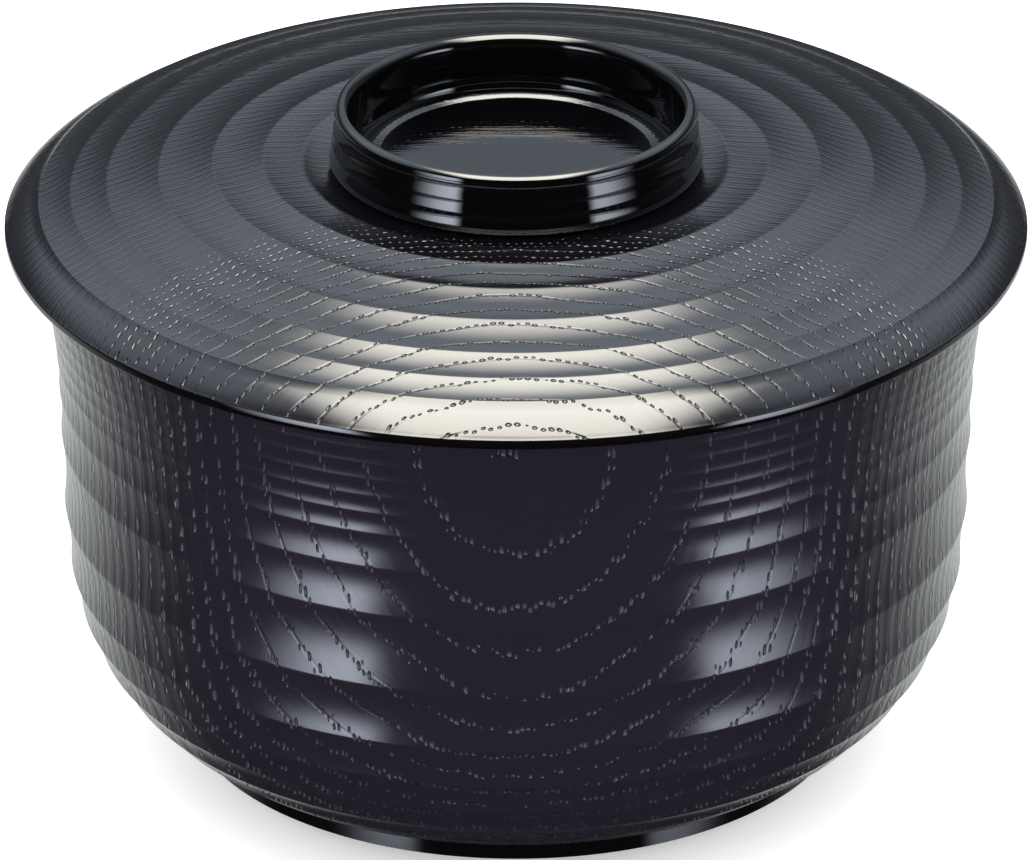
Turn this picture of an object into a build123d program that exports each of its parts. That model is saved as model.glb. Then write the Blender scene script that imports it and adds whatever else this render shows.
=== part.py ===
from build123d import *
import os

# Lidded rice bowl, turned from wood and lacquered black: a deep bowl on a low foot ring,
# and a domed lid with a tall ring on top. Coves, shallow hollows with a crisp ridge between
# them, run round the bowl and the lid. Sizes are in mm. Heights are above the table and
# radii are from the vertical axis, which is the Z axis. The origin is on the table.

os.makedirs("parts", exist_ok=True)

# Bowl
rim_outer_r = 61.2
rim_inner_r = 58.0
rim_round = 1.0
rim_corner = 0.3
rim_flat = 1.2
bowl_rim_z = 71.0
bowl_base_r = 37.2
inner_floor_z = 6.2

# Ridge lines of the outside run on this curve, from the rim down to the foot
bowl_curve = (
    (rim_outer_r, bowl_rim_z - rim_round),
    (59.2, 59.6),
    (58.4, 46.8),
    (57.9, 31.0),
    (56.4, 21.1),
    (51.8, 12.0),
    (45.2, 6.2),
    (bowl_base_r, 3.0),
)
bowl_cove_widths = (2.0, 2.3, 2.4, 2.5, 2.5, 2.9, 4.8, 6.5, 10.2, 8.3, 5.8, 5.1, 4.7, 4.0, 3.6, 3.4)
cove_depth_share = 0.038

# Smooth inside of the bowl, from the middle of its floor up to the mouth
inner_curve = (
    (0, inner_floor_z),
    (30.0, 7.4),
    (46.0, 12.6),
    (53.4, 23.0),
    (55.0, 40.0),
    (56.2, 56.0),
    (rim_inner_r, bowl_rim_z - rim_round),
)

# Foot ring, glued over a low spigot under the bowl
foot_top_z = 3.0
foot_outer_r = 36.2
foot_inner_r = 31.9
foot_round = 0.6
foot_waist_r = 35.7
foot_waist_z = 1.7
foot_tread_outer_r = 35.2
foot_inner_round = 1.1
foot_tread_inner_r = foot_inner_r + foot_inner_round
spigot_z = 2.2

# Lid
lid_r = 65.0
lid_gap = 0.1
lid_under_z = bowl_rim_z + lid_gap
lid_edge_z = 72.4
edge_low_round = 0.9
edge_high_round = 0.3
shoulder_slope = 38
shoulder_bulge = 0.25
shoulder_cove_width = 1.3

# Lip under the lid, which keeps it centred in the bowl's mouth
lip_outer_r = 57.4
lip_inner_r = 55.4
lip_taper = 0.2
lip_round = 0.7
lip_end_z = lid_under_z - 2.3

# Smooth underside of the dome, from the middle out to the lip
ceiling_curve = (
    (0, 77.4),
    (32.0, 77.1),
    (46.0, 75.7),
    (lip_inner_r, 73.0),
)

# Ridge lines of the dome run on this curve, from the shoulder in to the crest round the moat
crest = (27.0, 80.8)
dome_curve = (
    (60.7, 75.8),
    (52.1, 78.2),
    (45.5, 79.6),
    (38.7, 80.6),
    (32.3, 81.1),
    crest,
)
dome_cove_widths = (4.2, 4.8, 6.75, 6.9, 6.4)
crest_slope_middle = (29.4, 80.8)
moat_middle = (24.8, 80.15)

# Boss inside the lid's ring, with one round bead turned at its edge
boss_r = 20.4
boss_z = 81.3
bead_width = 2.9
bead_height = 0.45

# Ring on the lid
ring_seat_z = 80.1
ring_base_r = 22.6
ring_base_cove = (22.85, 80.4)
ring_lip_r = 23.3
ring_lip_z = 80.6
ring_belly_r = 23.7
ring_belly_z = 81.8
ring_belly_middle = (23.65, 81.1)
ring_neck_r = 22.9
ring_neck_z = 86.9
ring_bead = 0.12
ring_inner_r = 20.9
ring_inner_foot_z = 83.5
ring_inner_foot_middle = (20.79, 82.35)
ring_top_z = 88.3
ring_round = 0.8
ring_cove_count = 3
ring_cove_depth = 0.05


def sag_point(start, end, depth):
    """Middle of the chord from start to end, moved by depth to the right of its direction."""
    chord = end - start
    across = Vector(chord.Y, -chord.X).normalized()
    return (start + end) / 2 + across * depth


def coves(curve, widths):
    """One concave arc for each width, its ends on the curve, and the point where they stop."""
    start = 0.0
    for width in widths:
        high = curve.position_at(start, position_mode=PositionMode.LENGTH)
        low = curve.position_at(start + width, position_mode=PositionMode.LENGTH)
        ThreePointArc(high, sag_point(high, low, cove_depth_share * width), low)
        start += width
    return low


bowl_outline = Spline(*bowl_curve)
dome_outline = Spline(*dome_curve)

# The bowl: its wall, floor and the spigot that takes the foot ring
with BuildPart() as bowl_body:
    with BuildSketch(Plane.XZ):
        with BuildLine():
            last_ridge = coves(bowl_outline, bowl_cove_widths)
            Polyline(
                last_ridge,
                (bowl_base_r, foot_top_z),
                (foot_inner_r, foot_top_z),
                (foot_inner_r, spigot_z),
                (0, spigot_z),
                (0, inner_floor_z),
            )
            Spline(*inner_curve, tangents=((1, 0), (0.2, 1)))
            flat_middle_r = (rim_outer_r + rim_inner_r) / 2
            flat_inner_r = flat_middle_r - rim_flat / 2
            flat_outer_r = flat_middle_r + rim_flat / 2
            ThreePointArc(
                (rim_inner_r, bowl_rim_z - rim_round),
                (rim_inner_r + rim_corner, bowl_rim_z - rim_corner),
                (flat_inner_r, bowl_rim_z),
            )
            Line((flat_inner_r, bowl_rim_z), (flat_outer_r, bowl_rim_z))
            ThreePointArc(
                (flat_outer_r, bowl_rim_z),
                (rim_outer_r - rim_corner, bowl_rim_z - rim_corner),
                (rim_outer_r, bowl_rim_z - rim_round),
            )
        make_face()
    revolve(axis=Axis.Z)
bowl_body.part.label = "bowl_body"

# The foot ring: a low collar with a rounded tread that the bowl stands on
with BuildPart() as foot_ring:
    with BuildSketch(Plane.XZ):
        with BuildLine():
            foot_edge_r = foot_tread_outer_r + foot_round
            Line((foot_inner_r, foot_top_z), (foot_outer_r, foot_top_z))
            ThreePointArc(
                (foot_outer_r, foot_top_z),
                (foot_waist_r, foot_waist_z),
                (foot_edge_r, foot_round),
            )
            CenterArc((foot_tread_outer_r, foot_round), foot_round, -90, 90)
            Line((foot_tread_outer_r, 0), (foot_tread_inner_r, 0))
            CenterArc((foot_tread_inner_r, foot_inner_round), foot_inner_round, 180, 90)
            Line((foot_inner_r, foot_inner_round), (foot_inner_r, foot_top_z))
        make_face()
    revolve(axis=Axis.Z)
foot_ring.part.label = "foot_ring"

# The lid: boss, moat, coved dome, shoulder with one narrow cove, thin edge, and the lip that fits the bowl
with BuildPart() as lid_shell:
    with BuildSketch(Plane.XZ):
        with BuildLine():
            last_ridge = coves(dome_outline, dome_cove_widths)
            ThreePointArc(last_ridge, crest_slope_middle, crest)
            ThreePointArc(crest, moat_middle, (ring_base_r, ring_seat_z))
            Polyline((ring_base_r, ring_seat_z), (boss_r, ring_seat_z), (boss_r, boss_z))
            ThreePointArc(
                (boss_r, boss_z),
                (boss_r - bead_width / 2, boss_z + bead_height),
                (boss_r - bead_width, boss_z),
            )
            Polyline((boss_r - bead_width, boss_z), (0, boss_z), ceiling_curve[0])
            Spline(*ceiling_curve, tangents=((1, 0), (1, -0.6)))
            lip_inner_foot = (lip_inner_r, lip_end_z + lip_round)
            lip_outer_foot = (lip_outer_r - lip_taper, lip_end_z + lip_round)
            Line(ceiling_curve[-1], lip_inner_foot)
            ThreePointArc(
                lip_inner_foot,
                ((lip_inner_r + lip_outer_r) / 2, lip_end_z),
                lip_outer_foot,
            )
            Polyline(
                lip_outer_foot,
                (lip_outer_r, lid_under_z),
                (lid_r - edge_low_round, lid_under_z),
            )
            low_centre = (lid_r - edge_low_round, lid_under_z + edge_low_round)
            high_centre = (lid_r - edge_high_round, lid_edge_z)
            CenterArc(low_centre, edge_low_round, -90, 90)
            Line((lid_r, lid_under_z + edge_low_round), (lid_r, lid_edge_z))
            edge_arc = CenterArc(high_centre, edge_high_round, 0, 90 - shoulder_slope)
            shoulder_low = edge_arc @ 1
            shoulder_high = Vector(*dome_curve[0])
            down_shoulder = (shoulder_low - shoulder_high).normalized()
            shoulder_ridge = shoulder_high + down_shoulder * shoulder_cove_width
            ThreePointArc(
                shoulder_low,
                sag_point(shoulder_low, shoulder_ridge, shoulder_bulge),
                shoulder_ridge,
            )
            shoulder_cove_depth = cove_depth_share * shoulder_cove_width
            ThreePointArc(
                shoulder_ridge,
                sag_point(shoulder_ridge, shoulder_high, -shoulder_cove_depth),
                shoulder_high,
            )
        make_face()
    revolve(axis=Axis.Z)
lid_shell.part.label = "lid_shell"

# The ring on the lid: handle when the lid is on, stand when it is turned over
with BuildPart() as lid_ring:
    with BuildSketch(Plane.XZ):
        with BuildLine():
            Line((boss_r, ring_seat_z), (ring_base_r, ring_seat_z))
            ThreePointArc((ring_base_r, ring_seat_z), ring_base_cove, (ring_lip_r, ring_lip_z))
            ThreePointArc(
                (ring_lip_r, ring_lip_z),
                ring_belly_middle,
                (ring_belly_r, ring_belly_z),
            )
            wall_foot = Vector(ring_belly_r, ring_belly_z)
            wall_rise = Vector(ring_neck_r, ring_neck_z) - wall_foot
            for step in range(ring_cove_count):
                below = wall_foot + wall_rise * (step / ring_cove_count)
                above = wall_foot + wall_rise * ((step + 1) / ring_cove_count)
                ThreePointArc(below, sag_point(below, above, -ring_cove_depth), above)
            round_z = ring_top_z - ring_round
            ThreePointArc(
                (ring_neck_r, ring_neck_z),
                (ring_neck_r + ring_bead, (ring_neck_z + round_z) / 2),
                (ring_neck_r, round_z),
            )
            CenterArc((ring_neck_r - ring_round, round_z), ring_round, 0, 90)
            Line((ring_neck_r - ring_round, ring_top_z), (ring_inner_r + ring_round, ring_top_z))
            CenterArc((ring_inner_r + ring_round, round_z), ring_round, 90, 90)
            Line((ring_inner_r, round_z), (ring_inner_r, ring_inner_foot_z))
            ThreePointArc(
                (ring_inner_r, ring_inner_foot_z),
                ring_inner_foot_middle,
                (boss_r, boss_z),
            )
            Line((boss_r, boss_z), (boss_r, ring_seat_z))
        make_face()
    revolve(axis=Axis.Z)
lid_ring.part.label = "lid_ring"

export_step(bowl_body.part, "parts/bowl_body.step")
export_step(foot_ring.part, "parts/foot_ring.step")
export_step(lid_shell.part, "parts/lid_shell.step")
export_step(lid_ring.part, "parts/lid_ring.step")
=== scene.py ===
import bpy
import numpy as np
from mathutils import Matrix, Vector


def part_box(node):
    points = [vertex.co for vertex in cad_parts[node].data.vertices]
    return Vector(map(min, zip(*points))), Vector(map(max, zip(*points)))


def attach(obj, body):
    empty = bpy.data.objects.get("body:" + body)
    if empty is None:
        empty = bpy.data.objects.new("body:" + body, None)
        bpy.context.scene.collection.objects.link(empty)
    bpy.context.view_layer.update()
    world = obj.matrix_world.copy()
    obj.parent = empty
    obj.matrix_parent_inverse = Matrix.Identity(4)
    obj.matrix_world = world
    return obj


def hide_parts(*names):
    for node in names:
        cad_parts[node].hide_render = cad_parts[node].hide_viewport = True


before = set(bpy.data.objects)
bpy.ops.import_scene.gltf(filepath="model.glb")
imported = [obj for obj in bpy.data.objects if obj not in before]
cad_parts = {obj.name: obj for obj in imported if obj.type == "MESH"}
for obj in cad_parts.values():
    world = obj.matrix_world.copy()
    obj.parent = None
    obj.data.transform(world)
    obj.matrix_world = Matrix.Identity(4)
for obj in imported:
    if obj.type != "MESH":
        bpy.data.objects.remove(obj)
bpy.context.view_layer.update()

mm = 0.001

# ---------------------------------------------------------------------------------------------
# The bowl. One piece of open-grained wood, turned to a thin deep cup. The tool leaves coves
# round the wall, wide at the belly and narrow by the rim. The black lacquer is thin outside,
# so the pores still show, and thick and rubbed smooth inside.
# ---------------------------------------------------------------------------------------------
bowl_low, bowl_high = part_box("bowl_body")
rim_r = bowl_high.x / mm
rim_z = bowl_high.z / mm

# the rim is flat between two rounds, whose middles lie rim_corner down and in from its corners
rim_round, rim_corner, rim_flat = 1.0, 0.3, 1.2

# the curve that the ridges stand on, as (inset from the rim, drop below it), and the widths of
# the coves down it. A cove is cove_depth of its width deep, and its ridges are blunt.
wall_curve = ((0, rim_round), (2, 11.4), (2.8, 24.2), (3.3, 40), (4.8, 49.9), (9.4, 59), (16, 64.8),
              (24, 68))
wall_coves = (2.0, 2.3, 2.4, 2.5, 2.5, 2.9, 4.8, 6.5, 10.2, 8.3, 5.8, 5.1, 4.7, 4.0, 3.6, 3.4)
cove_depth = 0.038
ridge_round = 0.10

# the inside, from the middle of the floor to the mouth, as (radius, drop below the rim)
inside_curve = ((0, 64.8), (30, 63.6), (46, 58.4), (53.4, 48), (55, 31), (56.2, 15), (58, rim_round))

# the spigot that the foot is glued over, and a ring of points on its flat underside
spigot_r, underside_ring_r = 31.9, 20


def smooth_curve(points, count, start=None, end=None, span_steps=60):
    """The cubic curve through the points, with the straight distance between them as its
    parameter. Its slopes solve the linear equations that carry slope and curvature on through
    each point. An end has no curvature, or leaves in the direction given for it. Returns count
    points, evenly spaced along its length."""
    p = np.array(points, float)
    h = np.linalg.norm(np.diff(p, axis=0), axis=1)
    n = len(p)
    left, right = np.zeros((n, n)), np.zeros((n, 2))
    for i in range(1, n - 1):
        left[i, i - 1:i + 2] = 1 / h[i - 1], 2 / h[i - 1] + 2 / h[i], 1 / h[i]
        right[i] = 3 * (p[i] - p[i - 1]) / h[i - 1] ** 2 + 3 * (p[i + 1] - p[i]) / h[i] ** 2
    left[0, :2], right[0] = (2, 1), 3 * (p[1] - p[0]) / h[0]
    left[-1, -2:], right[-1] = (1, 2), 3 * (p[-1] - p[-2]) / h[-1]
    if start is not None:
        left[0, :2], right[0] = (1, 0), np.array(start, float) / np.linalg.norm(start)
    if end is not None:
        left[-1, -2:], right[-1] = (0, 1), np.array(end, float) / np.linalg.norm(end)
    slope = np.linalg.solve(left, right)
    t = np.linspace(0, 1, span_steps)[:, None]
    spans = [
        (2 * t**3 - 3 * t**2 + 1) * p[i] + (t**3 - 2 * t**2 + t) * h[i] * slope[i]
        + (3 * t**2 - 2 * t**3) * p[i + 1] + (t**3 - t**2) * h[i] * slope[i + 1]
        for i in range(n - 1)
    ]
    return evenly(np.vstack(spans), count)


def evenly(path, count):
    """count points at equal steps of length along a path."""
    length = np.r_[0, np.cumsum(np.linalg.norm(np.diff(path, axis=0), axis=1))]
    at = np.linspace(0, length[-1], count)
    return np.column_stack([np.interp(at, length, path[:, 0]), np.interp(at, length, path[:, 1])])


def coved(path, widths, samples):
    """The path with a cove for each width. A cove sinks below the straight line between its two
    ridges by 4 * cove_depth * width * a(u) * a(1 - u), with u from 0 to 1 across it and
    a(u) = sqrt(u^2 + (ridge_round / width)^2), which is a shallow arc with its ridges rounded.
    The solid lies to the right of the path's direction."""
    length = np.r_[0, np.cumsum(np.linalg.norm(np.diff(path, axis=0), axis=1))]
    ends = np.r_[0, np.cumsum(widths)]
    ridge = np.column_stack([np.interp(ends, length, path[:, k]) for k in (0, 1)])
    u = (1 - np.cos(np.pi * np.arange(samples) / samples)) / 2
    pieces = []
    for a, b, width in zip(ridge[:-1], ridge[1:], widths):
        blunt = (ridge_round / width) ** 2
        sag = 4 * cove_depth * width * np.sqrt(u**2 + blunt) * np.sqrt((1 - u) ** 2 + blunt)
        across = np.array([b[1] - a[1], a[0] - b[0]]) / np.linalg.norm(b - a)
        pieces.append(a + np.outer(u, b - a) + np.outer(sag, across))
    return np.vstack(pieces + [ridge[-1:]])


def arc(start, middle, end, count):
    """count points at equal angles on the circle through three points, from start to end. With
    the points as complex numbers and w = (end - start) / (middle - start), its centre is
    start + (middle - start) * (w - |w|^2) / (w - conjugate of w)."""
    s, m, e = (complex(*q) for q in (start, middle, end))
    w = (e - s) / (m - s)
    centre = s + (m - s) * (w - abs(w) ** 2) / (2j * w.imag)
    a0 = np.angle(s - centre)
    turn = np.angle((m - centre) / (s - centre)) + np.angle((e - centre) / (m - centre))
    z = centre + abs(s - centre) * np.exp(1j * (a0 + turn * np.linspace(0, 1, count)))
    return np.column_stack([z.real, z.imag])


def turned(name, outline, materials, slots, loop=False, turns=360):
    """The outline, (radius, height) pairs in mm, carried once round the axis: a point goes to
    (r cos a, r sin a, z) for turns equal angles a. Ends on the axis close to one point, and a
    loop joins its last point to its first. slots gives the material of the strip that starts at
    each outline point. Points that repeat are dropped, and edges over crease degrees are sharp."""
    same_point, crease = 1e-7, 35
    outline = np.array(outline, float) * mm
    keep = np.r_[True, np.linalg.norm(np.diff(outline, axis=0), axis=1) > same_point]
    outline, slots = outline[keep], np.array(slots)[keep]
    body = slice(None) if loop else slice(1, -1)
    r, z = outline[body].T
    angle = np.linspace(0, 2 * np.pi, turns, endpoint=False)
    grid = np.stack([np.outer(r, np.cos(angle)), np.outer(r, np.sin(angle)),
                     np.outer(z, np.ones(turns))], -1)
    rows, points = len(r), grid.reshape(-1, 3)
    i, j = np.meshgrid(np.arange(rows if loop else rows - 1), np.arange(turns), indexing="ij")
    near, far, side = i * turns, (i + 1) % rows * turns, (j + 1) % turns
    faces = np.stack([near + j, far + j, far + side, near + side], -1).reshape(-1, 4).tolist()
    marks = np.repeat(slots[body][: len(i)], turns).tolist()
    if not loop:
        a, b = np.arange(turns), (np.arange(turns) + 1) % turns
        points = np.vstack([points, [0, 0, outline[0, 1]], [0, 0, outline[-1, 1]]])
        top, last = len(points) - 2, (rows - 1) * turns
        faces += np.stack([np.full(turns, top), a, b], -1).tolist()
        faces += np.stack([last + a, np.full(turns, top + 1), last + b], -1).tolist()
        marks += [int(slots[0])] * turns + [int(slots[-1])] * turns
    mesh = bpy.data.meshes.new(name)
    mesh.from_pydata(points.tolist(), [], faces)
    for material in materials:
        mesh.materials.append(material)
    mesh.polygons.foreach_set("material_index", marks)
    mesh.polygons.foreach_set("use_smooth", [True] * len(mesh.polygons))
    mesh.set_sharp_from_angle(angle=np.radians(crease))
    mesh.update()
    piece = bpy.data.objects.new(name, mesh)
    bpy.context.scene.collection.objects.link(piece)
    return piece


def add(tree, kind, **sockets):
    """A node of a kind in a tree. A socket is named by its name, with _ for each space, or by _
    and its number, and its value is a number, a colour or another node's output."""
    node = tree.nodes.new("ShaderNode" + kind)
    for name, value in sockets.items():
        socket = node.inputs[int(name[1:]) if name[0] == "_" else name.replace("_", " ")]
        if isinstance(value, bpy.types.NodeSocket):
            tree.links.new(value, socket)
        else:
            socket.default_value = value
    return node


def maths(tree, operation, a, b=0.0, c=0.0):
    """The result of one Math node on up to three numbers or sockets."""
    node = add(tree, "Math", _0=a, _1=b, _2=c)
    node.operation = operation
    return node.outputs[0]


def remap(tree, value, low, high, to_low=0.0, to_high=1.0):
    """value taken smoothly from low..high to to_low..to_high."""
    node = add(tree, "MapRange", _0=value, _1=low, _2=high, _3=to_low, _4=to_high)
    node.interpolation_type = "SMOOTHSTEP"
    return node.outputs[0]


def open_grain():
    """Shader group for ring-porous wood, its growth rings round an upright pith at Pith, in
    front of the piece. With d the distance in mm from the pith, z the height above it, w going
    from 1 to 0 away from the pith, and D = sqrt(d^2 + (Lean * w * z)^2) plus a slow waver, a
    ring's number is a * D + (b - a) / 2 * (sqrt((D - Hinge)^2 + bend^2) + D - Hinge). So a ring
    is Near Gap = 1 / a wide before Hinge and Far Gap = 1 / b past it, and Lean lets the rings
    close in below the pith's height. A row of cells, Cell Along by Cell Up mm, runs along each
    ring's middle. Each cell holds one pore, an ellipsoid that reaches Pore mm along the ring,
    across it and upwards, moved and sized by chance. Pores is 1 in a pore, Row is 1 on a fine
    line along each row, Ring goes from 0 on a row to 1 between rows, Fibre is a noise drawn out
    along the rings, and Far goes from 0 to 1 round Hinge."""
    lean_fades, bend = (26.0, 90.0), 9.0
    waver_size, waver_shift, waver_scale = 3.0, -0.8, 0.05
    row_stagger, row_line, far_starts = 0.37, (0.26, 0.04), (-8.0, 20.0)
    thread_long, thread_fine = 0.25, 2.2
    # range and start of the chance moves along and across, in cells and in mm, and of the size
    move_along, move_across, size = (0.3, -0.15), (0.5, -0.25), (0.9, 0.35)

    group = bpy.data.node_groups.new("open_grain", "ShaderNodeTree")
    for name in ("Vector", "Pith", "Pore"):
        group.interface.new_socket(name, in_out="INPUT", socket_type="NodeSocketVector")
    for name in ("Cell Along", "Cell Up", "Near Gap", "Far Gap", "Hinge", "Lean"):
        group.interface.new_socket(name, in_out="INPUT", socket_type="NodeSocketFloat")
    for name in ("Pores", "Row", "Ring", "Fibre", "Far"):
        group.interface.new_socket(name, in_out="OUTPUT", socket_type="NodeSocketFloat")
    given = group.nodes.new("NodeGroupInput").outputs
    result = group.nodes.new("NodeGroupOutput").inputs

    def m(operation, a, b=0.0, c=0.0):
        return maths(group, operation, a, b, c)

    def parts(vector):
        return list(add(group, "SeparateXYZ", _0=vector).outputs)

    # place from the pith in mm, and the ring that it is in
    from_pith = add(group, "VectorMath", _0=given["Vector"], _1=given["Pith"])
    from_pith.operation = "SUBTRACT"
    local = add(group, "VectorMath", _0=from_pith.outputs[0])
    local.operation = "SCALE"
    local.inputs["Scale"].default_value = 1 / mm
    x, y, z = parts(local.outputs[0])
    d = m("SQRT", m("MULTIPLY_ADD", x, x, m("MULTIPLY", y, y)))
    waver = add(group, "TexNoise", Vector=local.outputs[0], Scale=waver_scale, Detail=2.0).outputs[0]
    closing = m("MULTIPLY", m("MULTIPLY", remap(group, d, *lean_fades, 1.0, 0.0), given["Lean"]), z)
    reach = m("SQRT", m("MULTIPLY_ADD", d, d, m("MULTIPLY", closing, closing)))
    reach = m("ADD", m("MULTIPLY_ADD", waver, waver_size, waver_shift), reach)
    past = m("SUBTRACT", reach, given["Hinge"])
    curve = m("SQRT", m("MULTIPLY_ADD", past, past, bend ** 2))
    near, far = m("DIVIDE", 1.0, given["Near Gap"]), m("DIVIDE", 1.0, given["Far Gap"])
    half_step = m("MULTIPLY", m("SUBTRACT", far, near), 0.5)
    ring = m("MULTIPLY_ADD", half_step, m("ADD", curve, past), m("MULTIPLY", near, reach))
    rate = m("MULTIPLY_ADD", half_step, m("ADD", 1.0, m("DIVIDE", past, curve)), near)
    row = m("FLOOR", ring)
    off = m("SUBTRACT", m("FRACT", ring), 0.5)
    off_mm = m("DIVIDE", off, rate)
    # the cell that the point is in, and where it is from the middle of that cell's pore
    pore_along, pore_across, pore_up = parts(given["Pore"])
    along = m("DIVIDE", m("MULTIPLY", m("ARCTAN2", x, y), d), given["Cell Along"])
    along = m("MULTIPLY_ADD", row, row_stagger, along)
    column = m("FLOOR", along)
    shift = add(group, "TexWhiteNoise", Vector=add(group, "CombineXYZ", _0=row, _1=column).outputs[0])
    up = m("ADD", m("DIVIDE", z, given["Cell Up"]), shift.outputs["Value"])
    storey = m("FLOOR", up)
    key = add(group, "CombineXYZ", _0=row, _1=column, _2=storey).outputs[0]
    chance = parts(add(group, "TexWhiteNoise", Vector=key).outputs["Color"])
    u = m("ADD", m("SUBTRACT", m("FRACT", along), 0.5), m("MULTIPLY_ADD", chance[0], *move_along))
    u = m("DIVIDE", m("MULTIPLY", u, given["Cell Along"]), pore_along)
    v = m("DIVIDE", m("ADD", off_mm, m("MULTIPLY_ADD", chance[1], *move_across)), pore_across)
    w = m("DIVIDE", m("MULTIPLY", m("SUBTRACT", m("FRACT", up), 0.5), given["Cell Up"]), pore_up)
    ball = m("MULTIPLY_ADD", u, u, m("MULTIPLY_ADD", v, v, m("MULTIPLY", w, w)))
    ball = m("DIVIDE", ball, m("MULTIPLY_ADD", chance[2], *size))
    threads = add(group, "CombineXYZ", _0=m("MULTIPLY", along, thread_long),
                  _1=m("MULTIPLY", reach, thread_fine), _2=m("MULTIPLY", up, thread_long)).outputs[0]
    fibre = add(group, "TexNoise", Vector=threads, Scale=1.0, Detail=1.0).outputs[0]
    group.links.new(remap(group, ball, 1.0, 0.0), result["Pores"])
    group.links.new(remap(group, m("ABSOLUTE", off_mm), *row_line), result["Row"])
    group.links.new(remap(group, m("ABSOLUTE", off), 0.0, 0.5), result["Ring"])
    group.links.new(fibre, result["Fibre"])
    group.links.new(remap(group, m("SUBTRACT", d, given["Hinge"]), *far_starts), result["Far"])
    return group


grain = open_grain()


def grained_lacquer(name, pith, cell, pore, gaps, hinge, lean, depths, relief, satin, black, glint_paleness):
    """Thin black lacquer that has soaked into the pores: a satin gloss, a shade darker between the rows
    far from the pith. Each pore is a small dip, its floor depths[0] mm high near the pith and depths[1]
    far from it, and duller near the pith; its colour is paler than the rest by a given factor, a painted
    glint for the light that the pore's floor would catch.
    relief is the height in mm of the fibres, the bands between rows, and the rows themselves.
    satin is the roughness from the smoothest fibres to the roughest."""
    dark_band, dull_pore, dull_fades = 0.75, 0.30, 0.7
    fibre_range = (0.2, 0.8)
    material = bpy.data.materials.new(name)
    material.use_nodes = True
    tree = material.node_tree
    shader = tree.nodes["Principled BSDF"]
    wood = add(tree, "Group")
    wood.node_tree = grain
    tree.links.new(add(tree, "TexCoord").outputs["Object"], wood.inputs["Vector"])
    settings = {"Pith": pith, "Pore": pore, "Cell Along": cell[0], "Cell Up": cell[1],
                "Near Gap": gaps[0], "Far Gap": gaps[1], "Hinge": hinge, "Lean": lean}
    for socket, value in settings.items():
        wood.inputs[socket].default_value = value
    pores, row, ring, fibre, far = wood.outputs
    tone = add(tree, "Mix")
    tone.data_type = "RGBA"
    tree.links.new(maths(tree, "MULTIPLY", far, ring), tone.inputs["Factor"])
    tone.inputs["A"].default_value = (*black, 1)
    tone.inputs["B"].default_value = (*[dark_band * c for c in black], 1)
    # painted glint: each pore's colour, paler than the rest by the given factor, stands in for light
    # caught on its floor
    pore_glint = add(tree, "Mix")
    pore_glint.data_type = "RGBA"
    tree.links.new(pores, pore_glint.inputs["Factor"])
    tree.links.new(tone.outputs["Result"], pore_glint.inputs["A"])
    pore_glint.inputs["B"].default_value = (*[glint_paleness * c for c in black], 1)
    tree.links.new(pore_glint.outputs["Result"], shader.inputs["Base Color"])
    satin_sheen = remap(tree, fibre, *fibre_range, *satin)
    dull = maths(tree, "MULTIPLY", pores, remap(tree, far, 0.0, dull_fades, dull_pore, 0.0))
    tree.links.new(maths(tree, "ADD", dull, satin_sheen), shader.inputs["Roughness"])
    # heights in mm: far from the pith the pores are shallower, and the bands and fibres show
    pore_depth = remap(tree, far, 0.0, 1.0, *depths)
    bands = maths(tree, "MULTIPLY_ADD", fibre, relief[0], maths(tree, "MULTIPLY", ring, relief[1]))
    grooves = maths(tree, "MULTIPLY_ADD", row, relief[2], maths(tree, "MULTIPLY", far, bands))
    height = maths(tree, "MULTIPLY_ADD", pores, pore_depth, grooves)
    bump = add(tree, "Bump", Strength=1.0, Distance=mm, Height=height)
    tree.links.new(bump.outputs[0], shader.inputs["Normal"])
    shader.inputs["IOR"].default_value = 1.5
    return material


def gloss_lacquer(name, haze=(0.03, 0.065)):
    """Thick black lacquer polished to a mirror: waves of a brushed coat, too faint to see one by
    one, and a haze of handling, from haze[0] to haze[1] rough, in soft paler patches."""
    black, patch_pale = (0.0012, 0.0011, 0.0014), 1.6
    patch_scale, patch_range = 90.0, (0.35, 0.7)
    wave_scale, wave_height = 420.0, 0.004
    material = bpy.data.materials.new(name)
    material.use_nodes = True
    tree = material.node_tree
    shader = tree.nodes["Principled BSDF"]
    place = add(tree, "TexCoord").outputs["Object"]
    patches = add(tree, "TexNoise", Vector=place, Scale=patch_scale, Detail=3.0).outputs[0]
    tone = add(tree, "Mix")
    tone.data_type = "RGBA"
    tree.links.new(patches, tone.inputs["Factor"])
    tone.inputs["A"].default_value = (*black, 1)
    tone.inputs["B"].default_value = (*[patch_pale * c for c in black], 1)
    tree.links.new(tone.outputs["Result"], shader.inputs["Base Color"])
    tree.links.new(remap(tree, patches, *patch_range, *haze), shader.inputs["Roughness"])
    waves = add(tree, "TexNoise", Vector=place, Scale=wave_scale, Detail=1.0).outputs[0]
    height = maths(tree, "MULTIPLY", waves, wave_height)
    bump = add(tree, "Bump", Strength=1.0, Distance=mm, Height=height)
    tree.links.new(bump.outputs[0], shader.inputs["Normal"])
    shader.inputs["IOR"].default_value = 1.52
    return material


# the bowl's pores are painted twice as pale as the rest: a painted glint
wall_grain = grained_lacquer(
    "bowl_grain", pith=(0, -0.082, 0.066), cell=(0.75, 2.2), pore=(0.29, 0.55, 0.95), gaps=(5.0, 2.2),
    hinge=52, lean=1.0, depths=(-0.17, -0.06), relief=(0.022, -0.04, -0.012), satin=(0.15, 0.20),
    black=(0.0110, 0.0090, 0.0150), glint_paleness=2.0)
smooth_inside = gloss_lacquer("inside_lacquer", haze=(0.08, 0.14))

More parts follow.
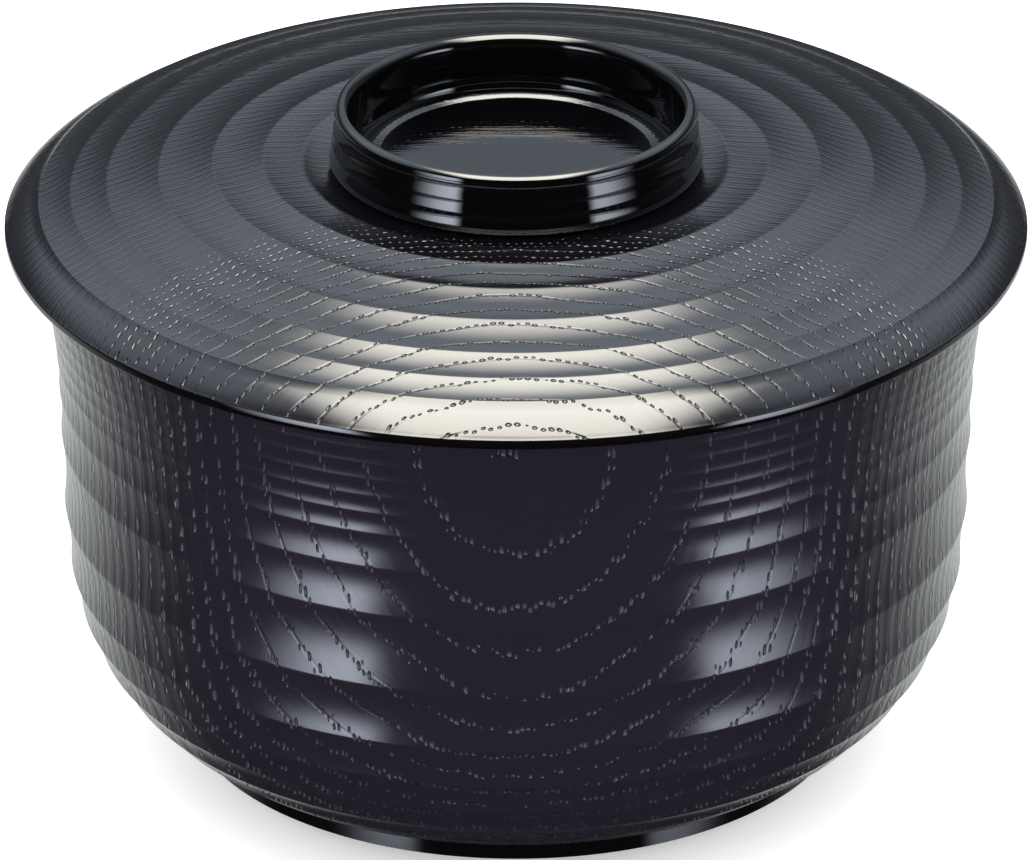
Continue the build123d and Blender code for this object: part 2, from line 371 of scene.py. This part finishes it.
wall = np.array([(rim_r - inset, rim_z - drop) for inset, drop in wall_curve])
wall = coved(smooth_curve(wall, 900), wall_coves, samples=11)
inside = smooth_curve([(r, rim_z - drop) for r, drop in inside_curve], 46, start=(1, 0), end=(0.2, 1))
mouth_r = inside[-1, 0]
rim_middle = (rim_r + mouth_r) / 2
rim_in = arc(inside[-1], (mouth_r + rim_corner, rim_z - rim_corner), (rim_middle - rim_flat / 2, rim_z), 8)
rim_out = arc((rim_middle + rim_flat / 2, rim_z), (rim_r - rim_corner, rim_z - rim_corner),
              (rim_r, rim_z - rim_round), 8)
foot_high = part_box("foot_ring")[1]
foot_r, foot_top = foot_high.x / mm, foot_high.z / mm
base_z = bowl_low.z / mm
under = [(wall[-1, 0], foot_top)] + [(spigot_r, z) for z in (foot_top, base_z)]
under += [(r, base_z) for r in (underside_ring_r, 0)]
outline = np.vstack([inside, rim_in, rim_out, wall, under])

# smooth inside as far as the middle of the rim's outer round, grained down the wall, smooth below
smooth_to = len(inside) + len(rim_in) + len(rim_out) // 2
grained_to = len(inside) + len(rim_in) + len(rim_out) + len(wall) - 1
slots = [1] * smooth_to + [0] * (grained_to - smooth_to) + [1] * (len(outline) - grained_to)
bowl = turned("turned_bowl", outline, [wall_grain, smooth_inside], slots)
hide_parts("bowl_body")
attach(bowl, "bowl")

# ---------------------------------------------------------------------------------------------
# The foot. A low ring turned on its own and glued over a spigot under the bowl, with a
# rounded tread, and polished until it is a mirror.
# ---------------------------------------------------------------------------------------------
foot_waist = (foot_r - 0.5, 1.7)
tread_out, tread_in = 35.2, 33.0
foot_round, foot_inner_round = 0.6, 1.1


def around(centre, radius, first, last, count):
    """count points centre + radius * (cos a, sin a), a going evenly from first to last degrees:
    0 is outwards and 90 is up."""
    a = np.radians(np.linspace(first, last, count))
    return np.column_stack([centre[0] + radius * np.cos(a), centre[1] + radius * np.sin(a)])


foot_line = np.vstack([
    [(spigot_r, foot_top)],
    arc((foot_r, foot_top), foot_waist, (tread_out + foot_round, foot_round), 9),
    around((tread_out, foot_round), foot_round, 0, -90, 7),
    around((tread_in, foot_inner_round), foot_inner_round, -90, -180, 9),
])
foot_gloss = gloss_lacquer("foot_lacquer")
foot = turned("foot_collar", foot_line, [foot_gloss], [0] * len(foot_line), loop=True)
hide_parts("foot_ring")
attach(foot, "bowl")

# ---------------------------------------------------------------------------------------------
# The lid. A thin dome turned from the same wood: a boss, a moat round it, coves like the
# bowl's, a steep shoulder and a thin edge, and a lip below that drops into the bowl's mouth.
# Grained on top in a black painted darker for shade, with a thicker coat on the boss, darker still, and
# smooth underneath.
# ---------------------------------------------------------------------------------------------
lid_low, lid_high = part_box("lid_shell")
lid_r, crown_z, lip_z = lid_high.x / mm, lid_high.z / mm, lid_low.z / mm
lid_gap = 0.1
under_z = rim_z + lid_gap
boss_r, bead_width, bead_height = 20.4, 2.9, 0.45
boss_z = crown_z - bead_height
bead_in = boss_r - bead_width
seat_r, seat_z = 22.6, 80.1
crest, crest_slope, moat_middle = (27.0, 80.8), (29.4, 80.8), (24.8, 80.15)
shoulder_slope, shoulder_cove, shoulder_bulge = 38, 1.3, 0.25
edge_low, edge_high, edge_z = 0.9, 0.3, 72.4
lip_outer_r, lip_inner_r, lip_taper, lip_round = 57.4, 55.4, 0.2, 0.7

# the curve that the ridges stand on, from the crest of the moat out to the shoulder, and the
# coves along it. The last cove ends at the shoulder, and the slope of the crest fills the start.
dome_curve = (crest, (32.3, 81.1), (38.7, 80.6), (45.5, 79.6), (52.1, 78.2), (60.7, 75.8))
dome_coves = (6.4, 6.9, 6.75, 4.8, 4.2)
ceiling_curve = ((lip_inner_r, 73.0), (46, 75.7), (32, 77.1), (0, 77.4))

# rings of points on the flats, at these radii, keep their faces short
boss_rings, brim_ring_r = (0, 9, bead_in - 0.4), 60

dome = smooth_curve(dome_curve, 700)
dome_length = np.linalg.norm(np.diff(dome, axis=0), axis=1).cumsum()
first_ridge = np.interp(dome_length[-1] - sum(dome_coves), dome_length, np.arange(len(dome_length)))
dome_top = coved(dome[int(first_ridge):], dome_coves, samples=14)
boss_line = np.vstack([
    [(r, boss_z) for r in boss_rings],
    arc((bead_in, boss_z), (boss_r - bead_width / 2, crown_z), (boss_r, boss_z), 15),
])
top_line = np.vstack([
    [(boss_r, seat_z)],
    arc((seat_r, seat_z), moat_middle, crest, 15),
    arc(crest, crest_slope, dome_top[0], 13)[1:-1],
    dome_top,
])
edge_top = around((lid_r - edge_high, edge_z), edge_high, 90 - shoulder_slope, 0, 7)
last_ridge, shoulder_foot = dome_top[-1], edge_top[0]
down = (shoulder_foot - last_ridge) / np.linalg.norm(shoulder_foot - last_ridge)
outward = np.array([-down[1], down[0]])
shoulder_ridge = last_ridge + down * shoulder_cove
cove_middle = (last_ridge + shoulder_ridge) / 2 - outward * cove_depth * shoulder_cove
bulge_middle = (shoulder_ridge + shoulder_foot) / 2 + outward * shoulder_bulge
shoulder = np.vstack([
    arc(last_ridge, cove_middle, shoulder_ridge, 7)[1:],
    arc(shoulder_ridge, bulge_middle, shoulder_foot, 14),
])
lip_middle, lip_foot_z = (lip_outer_r + lip_inner_r) / 2, lip_z + lip_round
edge_line = np.vstack([
    edge_top[1:],
    around((lid_r - edge_low, under_z + edge_low), edge_low, 0, -90, 7),
    [(brim_ring_r, under_z), (lip_outer_r, under_z)],
    arc((lip_outer_r - lip_taper, lip_foot_z), (lip_middle, lip_z), (lip_inner_r, lip_foot_z), 9),
    smooth_curve(ceiling_curve, 40, start=(-1, 0.6), end=(-1, 0)),
])
lid_line = np.vstack([boss_line, top_line, shoulder, edge_line])

# the grain runs on over the first rows of the edge's round
edge_grained = 2
lid_slots = [2] * len(boss_line) + [0] * (len(top_line) + len(shoulder) + edge_grained)
lid_slots += [1] * (len(edge_line) - edge_grained)
lid_wood = dict(pith=(0, -0.096, 0.08), cell=(1.05, 100), pore=(0.41, 0.24, 100), gaps=(3.6, 1.5),
                hinge=66, lean=0.0, glint_paleness=1.0)
# the lid's black is darker than the bowl's, though both are the same lacquer: painted shade that offsets
# the strong light from above
lid_grain = grained_lacquer(
    "lid_grain", **lid_wood, depths=(-0.18, -0.012), relief=(0.018, -0.022, -0.014),
    satin=(0.11, 0.16), black=(0.0050, 0.0042, 0.0064))
# the boss's black is darker again than the lid's: painted shade inside the ring that stands round it
boss_grain = grained_lacquer(
    "boss_grain", **lid_wood, depths=(-0.04, -0.004), relief=(0.005, -0.006, -0.004),
    satin=(0.05, 0.08), black=(0.0020, 0.0017, 0.0026))
lid = turned("turned_lid", lid_line, [lid_grain, smooth_inside, boss_grain], lid_slots)
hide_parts("lid_shell")
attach(lid, "lid")

# ---------------------------------------------------------------------------------------------
# The ring on the lid, its handle, and its stand when it is turned over. Turned on its own,
# glued over the boss, and polished like the foot. Three faint hollows run round the wall.
# ---------------------------------------------------------------------------------------------
ring_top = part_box("lid_ring")[1].z / mm
belly, neck = (23.7, 81.8), (22.9, 86.9)
belly_middle, ring_lip, base_cove = (23.65, 81.1), (23.3, 80.6), (22.85, 80.4)
wall_hollows, hollow_depth, neck_bead = 3, 0.05, 0.12
inner_r, inner_foot_z, inner_foot_middle = 20.9, 83.5, (20.79, 82.35)
round_r = 0.8
round_z = ring_top - round_r

# inside the mouth the round starts lower and flares, by flare_drop and through flare_middle
flare_drop = 0.7
flare_middle = (inner_r + 0.2, round_z + 0.12)

ring_ridges = np.linspace(neck, belly, wall_hollows + 1)
hollows = [
    arc(above, (above + below) / 2 - (hollow_depth, 0), below, 10)[:-1]
    for above, below in zip(ring_ridges[:-1], ring_ridges[1:])
]
ring_line = np.vstack([
    arc((inner_r, round_z - flare_drop), flare_middle, (inner_r + round_r, ring_top), 11),
    around((neck[0] - round_r, round_z), round_r, 90, 0, 9),
    arc((neck[0], round_z), (neck[0] + neck_bead, (neck[1] + round_z) / 2), neck, 6)[1:-1],
    *hollows,
    arc(belly, belly_middle, ring_lip, 8),
    arc(ring_lip, base_cove, (seat_r, seat_z), 7)[1:],
    [(boss_r, seat_z)],
    arc((boss_r, boss_z), inner_foot_middle, (inner_r, inner_foot_z), 9),
])
ring_gloss = gloss_lacquer("ring_lacquer")
ring = turned("lid_handle_ring", ring_line, [ring_gloss], [0] * len(ring_line), loop=True)
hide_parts("lid_ring")
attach(ring, "lid")

# ---------------------------------------------------------------------------------------------
# The studio. A white floor that glows a little and is not reflected, a surround that lights all
# sides alike but shows in the gloss as a room, dark in front and pale behind, and three lights
# that show only in the gloss: a big warm one overhead and a low cool panel at each front side.
# ---------------------------------------------------------------------------------------------
floor_half, floor_z = 4.0, -0.02 * mm
floor_mesh = bpy.data.meshes.new("floor")
corners = [(x * floor_half, y * floor_half, floor_z) for x, y in ((-1, -1), (1, -1), (1, 1), (-1, 1))]
floor_mesh.from_pydata(corners, [], [(0, 1, 2, 3)])
floor = bpy.data.objects.new("floor", floor_mesh)
bpy.context.scene.collection.objects.link(floor)
floor.visible_glossy = False
paper = bpy.data.materials.new("floor_paper")
paper.use_nodes = True
paper_tree = paper.node_tree
white = paper_tree.nodes["Principled BSDF"]
white.inputs["Base Color"].default_value = (0.95, 0.95, 0.95, 1)
white.inputs["Roughness"].default_value = 0.9
white.inputs["Specular IOR Level"].default_value = 0.0
white.inputs["Emission Color"].default_value = (1, 1, 1, 1)
white.inputs["Emission Strength"].default_value = 0.4
# clear from underneath, so that the foot can be looked at from below
one_way = add(paper_tree, "MixShader", _0=add(paper_tree, "NewGeometry").outputs["Backfacing"],
              _1=white.outputs[0], _2=add(paper_tree, "BsdfTransparent").outputs[0])
paper_tree.links.new(one_way.outputs[0], paper_tree.nodes["Material Output"].inputs["Surface"])
floor_mesh.materials.append(paper)

world = bpy.data.worlds.new("surround")
bpy.context.scene.world = world
world.use_nodes = True
tree = world.node_tree
tree.nodes.clear()
way = add(tree, "SeparateXYZ", _0=add(tree, "TexCoord").outputs["Generated"]).outputs
# what the gloss sees by height, from straight down at 0 to straight up at 1, as (place,
# brightness, tint): dark underneath, a pale floor, a dim skyline, then a wall that brightens
floor_tint, wall_tint = (0.95, 1.0, 0.98), (0.76, 0.87, 1.0)
steps = (
    (0.10, 0.03, floor_tint), (0.26, 0.95, floor_tint), (0.36, 0.95, floor_tint), (0.42, 0.40, floor_tint),
    (0.46, 0.08, wall_tint), (0.505, 0.08, wall_tint), (0.56, 0.17, wall_tint), (0.64, 0.20, wall_tint),
    (0.705, 0.80, wall_tint), (0.80, 1.8, wall_tint), (0.92, 1.9, wall_tint),
)
heights = add(tree, "ValToRGB", _0=maths(tree, "MULTIPLY_ADD", way["Z"], 0.5, 0.5))
ramp = heights.color_ramp
ramp.interpolation = "EASE"
for place, level, tint in steps:
    ramp.elements.new(place).color = (*[level * c for c in tint], 1)
ramp.elements.remove(ramp.elements[-1])
ramp.elements.remove(ramp.elements[0])
# and it darkens towards the front, less so high up
height_share, fades = 0.7, (0.0, 0.75, 0.02, 1.0)
backward = maths(tree, "MULTIPLY_ADD", maths(tree, "MAXIMUM", way["Z"], 0.0), height_share, way["Y"])
seen = add(tree, "Background", Color=heights.outputs[0], Strength=remap(tree, backward, *fades))
soft = add(tree, "Background", Color=(1, 1, 1, 1), Strength=1.6)
mix = add(tree, "MixShader", _0=add(tree, "LightPath").outputs["Is Glossy Ray"],
          _1=soft.outputs[0], _2=seen.outputs[0])
tree.links.new(mix.outputs[0], add(tree, "OutputWorld").inputs["Surface"])


def reflector(name, place, target, height, widths, edges, colour, radiance):
    """A flat light at place, facing target, that shows only in the gloss. Its width goes evenly
    from the first of widths at its foot to the second at its head. edges are the shares of its
    size, at its left, right, foot and head, over which it fades to nothing."""
    low, high, tall = widths[0] / 2, widths[1] / 2, height / 2
    mesh = bpy.data.meshes.new(name)
    corners = [(-low, -tall, 0), (low, -tall, 0), (high, tall, 0), (-high, tall, 0)]
    mesh.from_pydata(corners, [], [(0, 1, 2, 3)])
    sheet = bpy.data.objects.new(name, mesh)
    bpy.context.scene.collection.objects.link(sheet)
    sheet.location = place
    sheet.rotation_euler = Vector(np.subtract(target, place)).to_track_quat("-Z", "Y").to_euler()
    for ray in ("camera", "diffuse", "shadow", "transmission"):
        setattr(sheet, "visible_" + ray, False)
    glow = bpy.data.materials.new(name)
    glow.use_nodes = True
    tree = glow.node_tree
    tree.nodes.clear()
    spot = add(tree, "SeparateXYZ", _0=add(tree, "TexCoord").outputs["Object"]).outputs
    wide = maths(tree, "MULTIPLY_ADD", spot["Y"], (high - low) / height, (high + low) / 2)
    across, along = maths(tree, "DIVIDE", spot["X"], wide), maths(tree, "DIVIDE", spot["Y"], tall)
    strength = radiance
    for value, side, share in zip((across, across, along, along), (-1, 1, -1, 1), edges):
        strength = maths(tree, "MULTIPLY", remap(tree, value, side, side * (1 - 2 * share)), strength)
    light = add(tree, "Emission", Color=(*colour, 1), Strength=strength)
    both = add(tree, "AddShader", _0=add(tree, "BsdfTransparent").outputs[0], _1=light.outputs[0])
    tree.links.new(both.outputs[0], add(tree, "OutputMaterial").inputs["Surface"])
    mesh.materials.append(glow)


warm, cool = (1.0, 0.95, 0.84), (0.80, 0.87, 1.0)
panel_z, panel_height, panel_widths = -0.02, 0.68, (0.38, 0.38)
reflector("overhead", place=(0, 0.12, 1.06), target=(0, 0.12, 0), height=1.75, widths=(1.50, 0.50),
          edges=(0.28, 0.28, 0.05, 0.5), colour=warm, radiance=19)
reflector("left_panel", place=(-0.45, -0.40, panel_z), target=(0, 0, panel_z), height=panel_height,
          widths=panel_widths, edges=(0.75, 0.2, 0.25, 0.15), colour=cool, radiance=10)
reflector("right_panel", place=(0.52, -0.30, panel_z), target=(0, 0, panel_z), height=panel_height,
          widths=panel_widths, edges=(0.2, 0.75, 0.25, 0.15), colour=cool, radiance=8)

# the camera: a long lens from the front, 26 degrees above level, aimed at the middle of the
# bowl with its lid on
camera_data = bpy.data.cameras.new("camera")
camera_data.lens = 356.6
camera_data.clip_start = 0.05
camera = bpy.data.objects.new("camera", camera_data)
bpy.context.scene.collection.objects.link(camera)
camera.location = (0, -1.1801, 0.6178)
aimed_at = Vector((0, 0, 0.0424))
camera.rotation_euler = (aimed_at - camera.location).to_track_quat("-Z", "Y").to_euler()
bpy.context.scene.camera = camera
bpy.context.scene.view_settings.view_transform = "Standard"
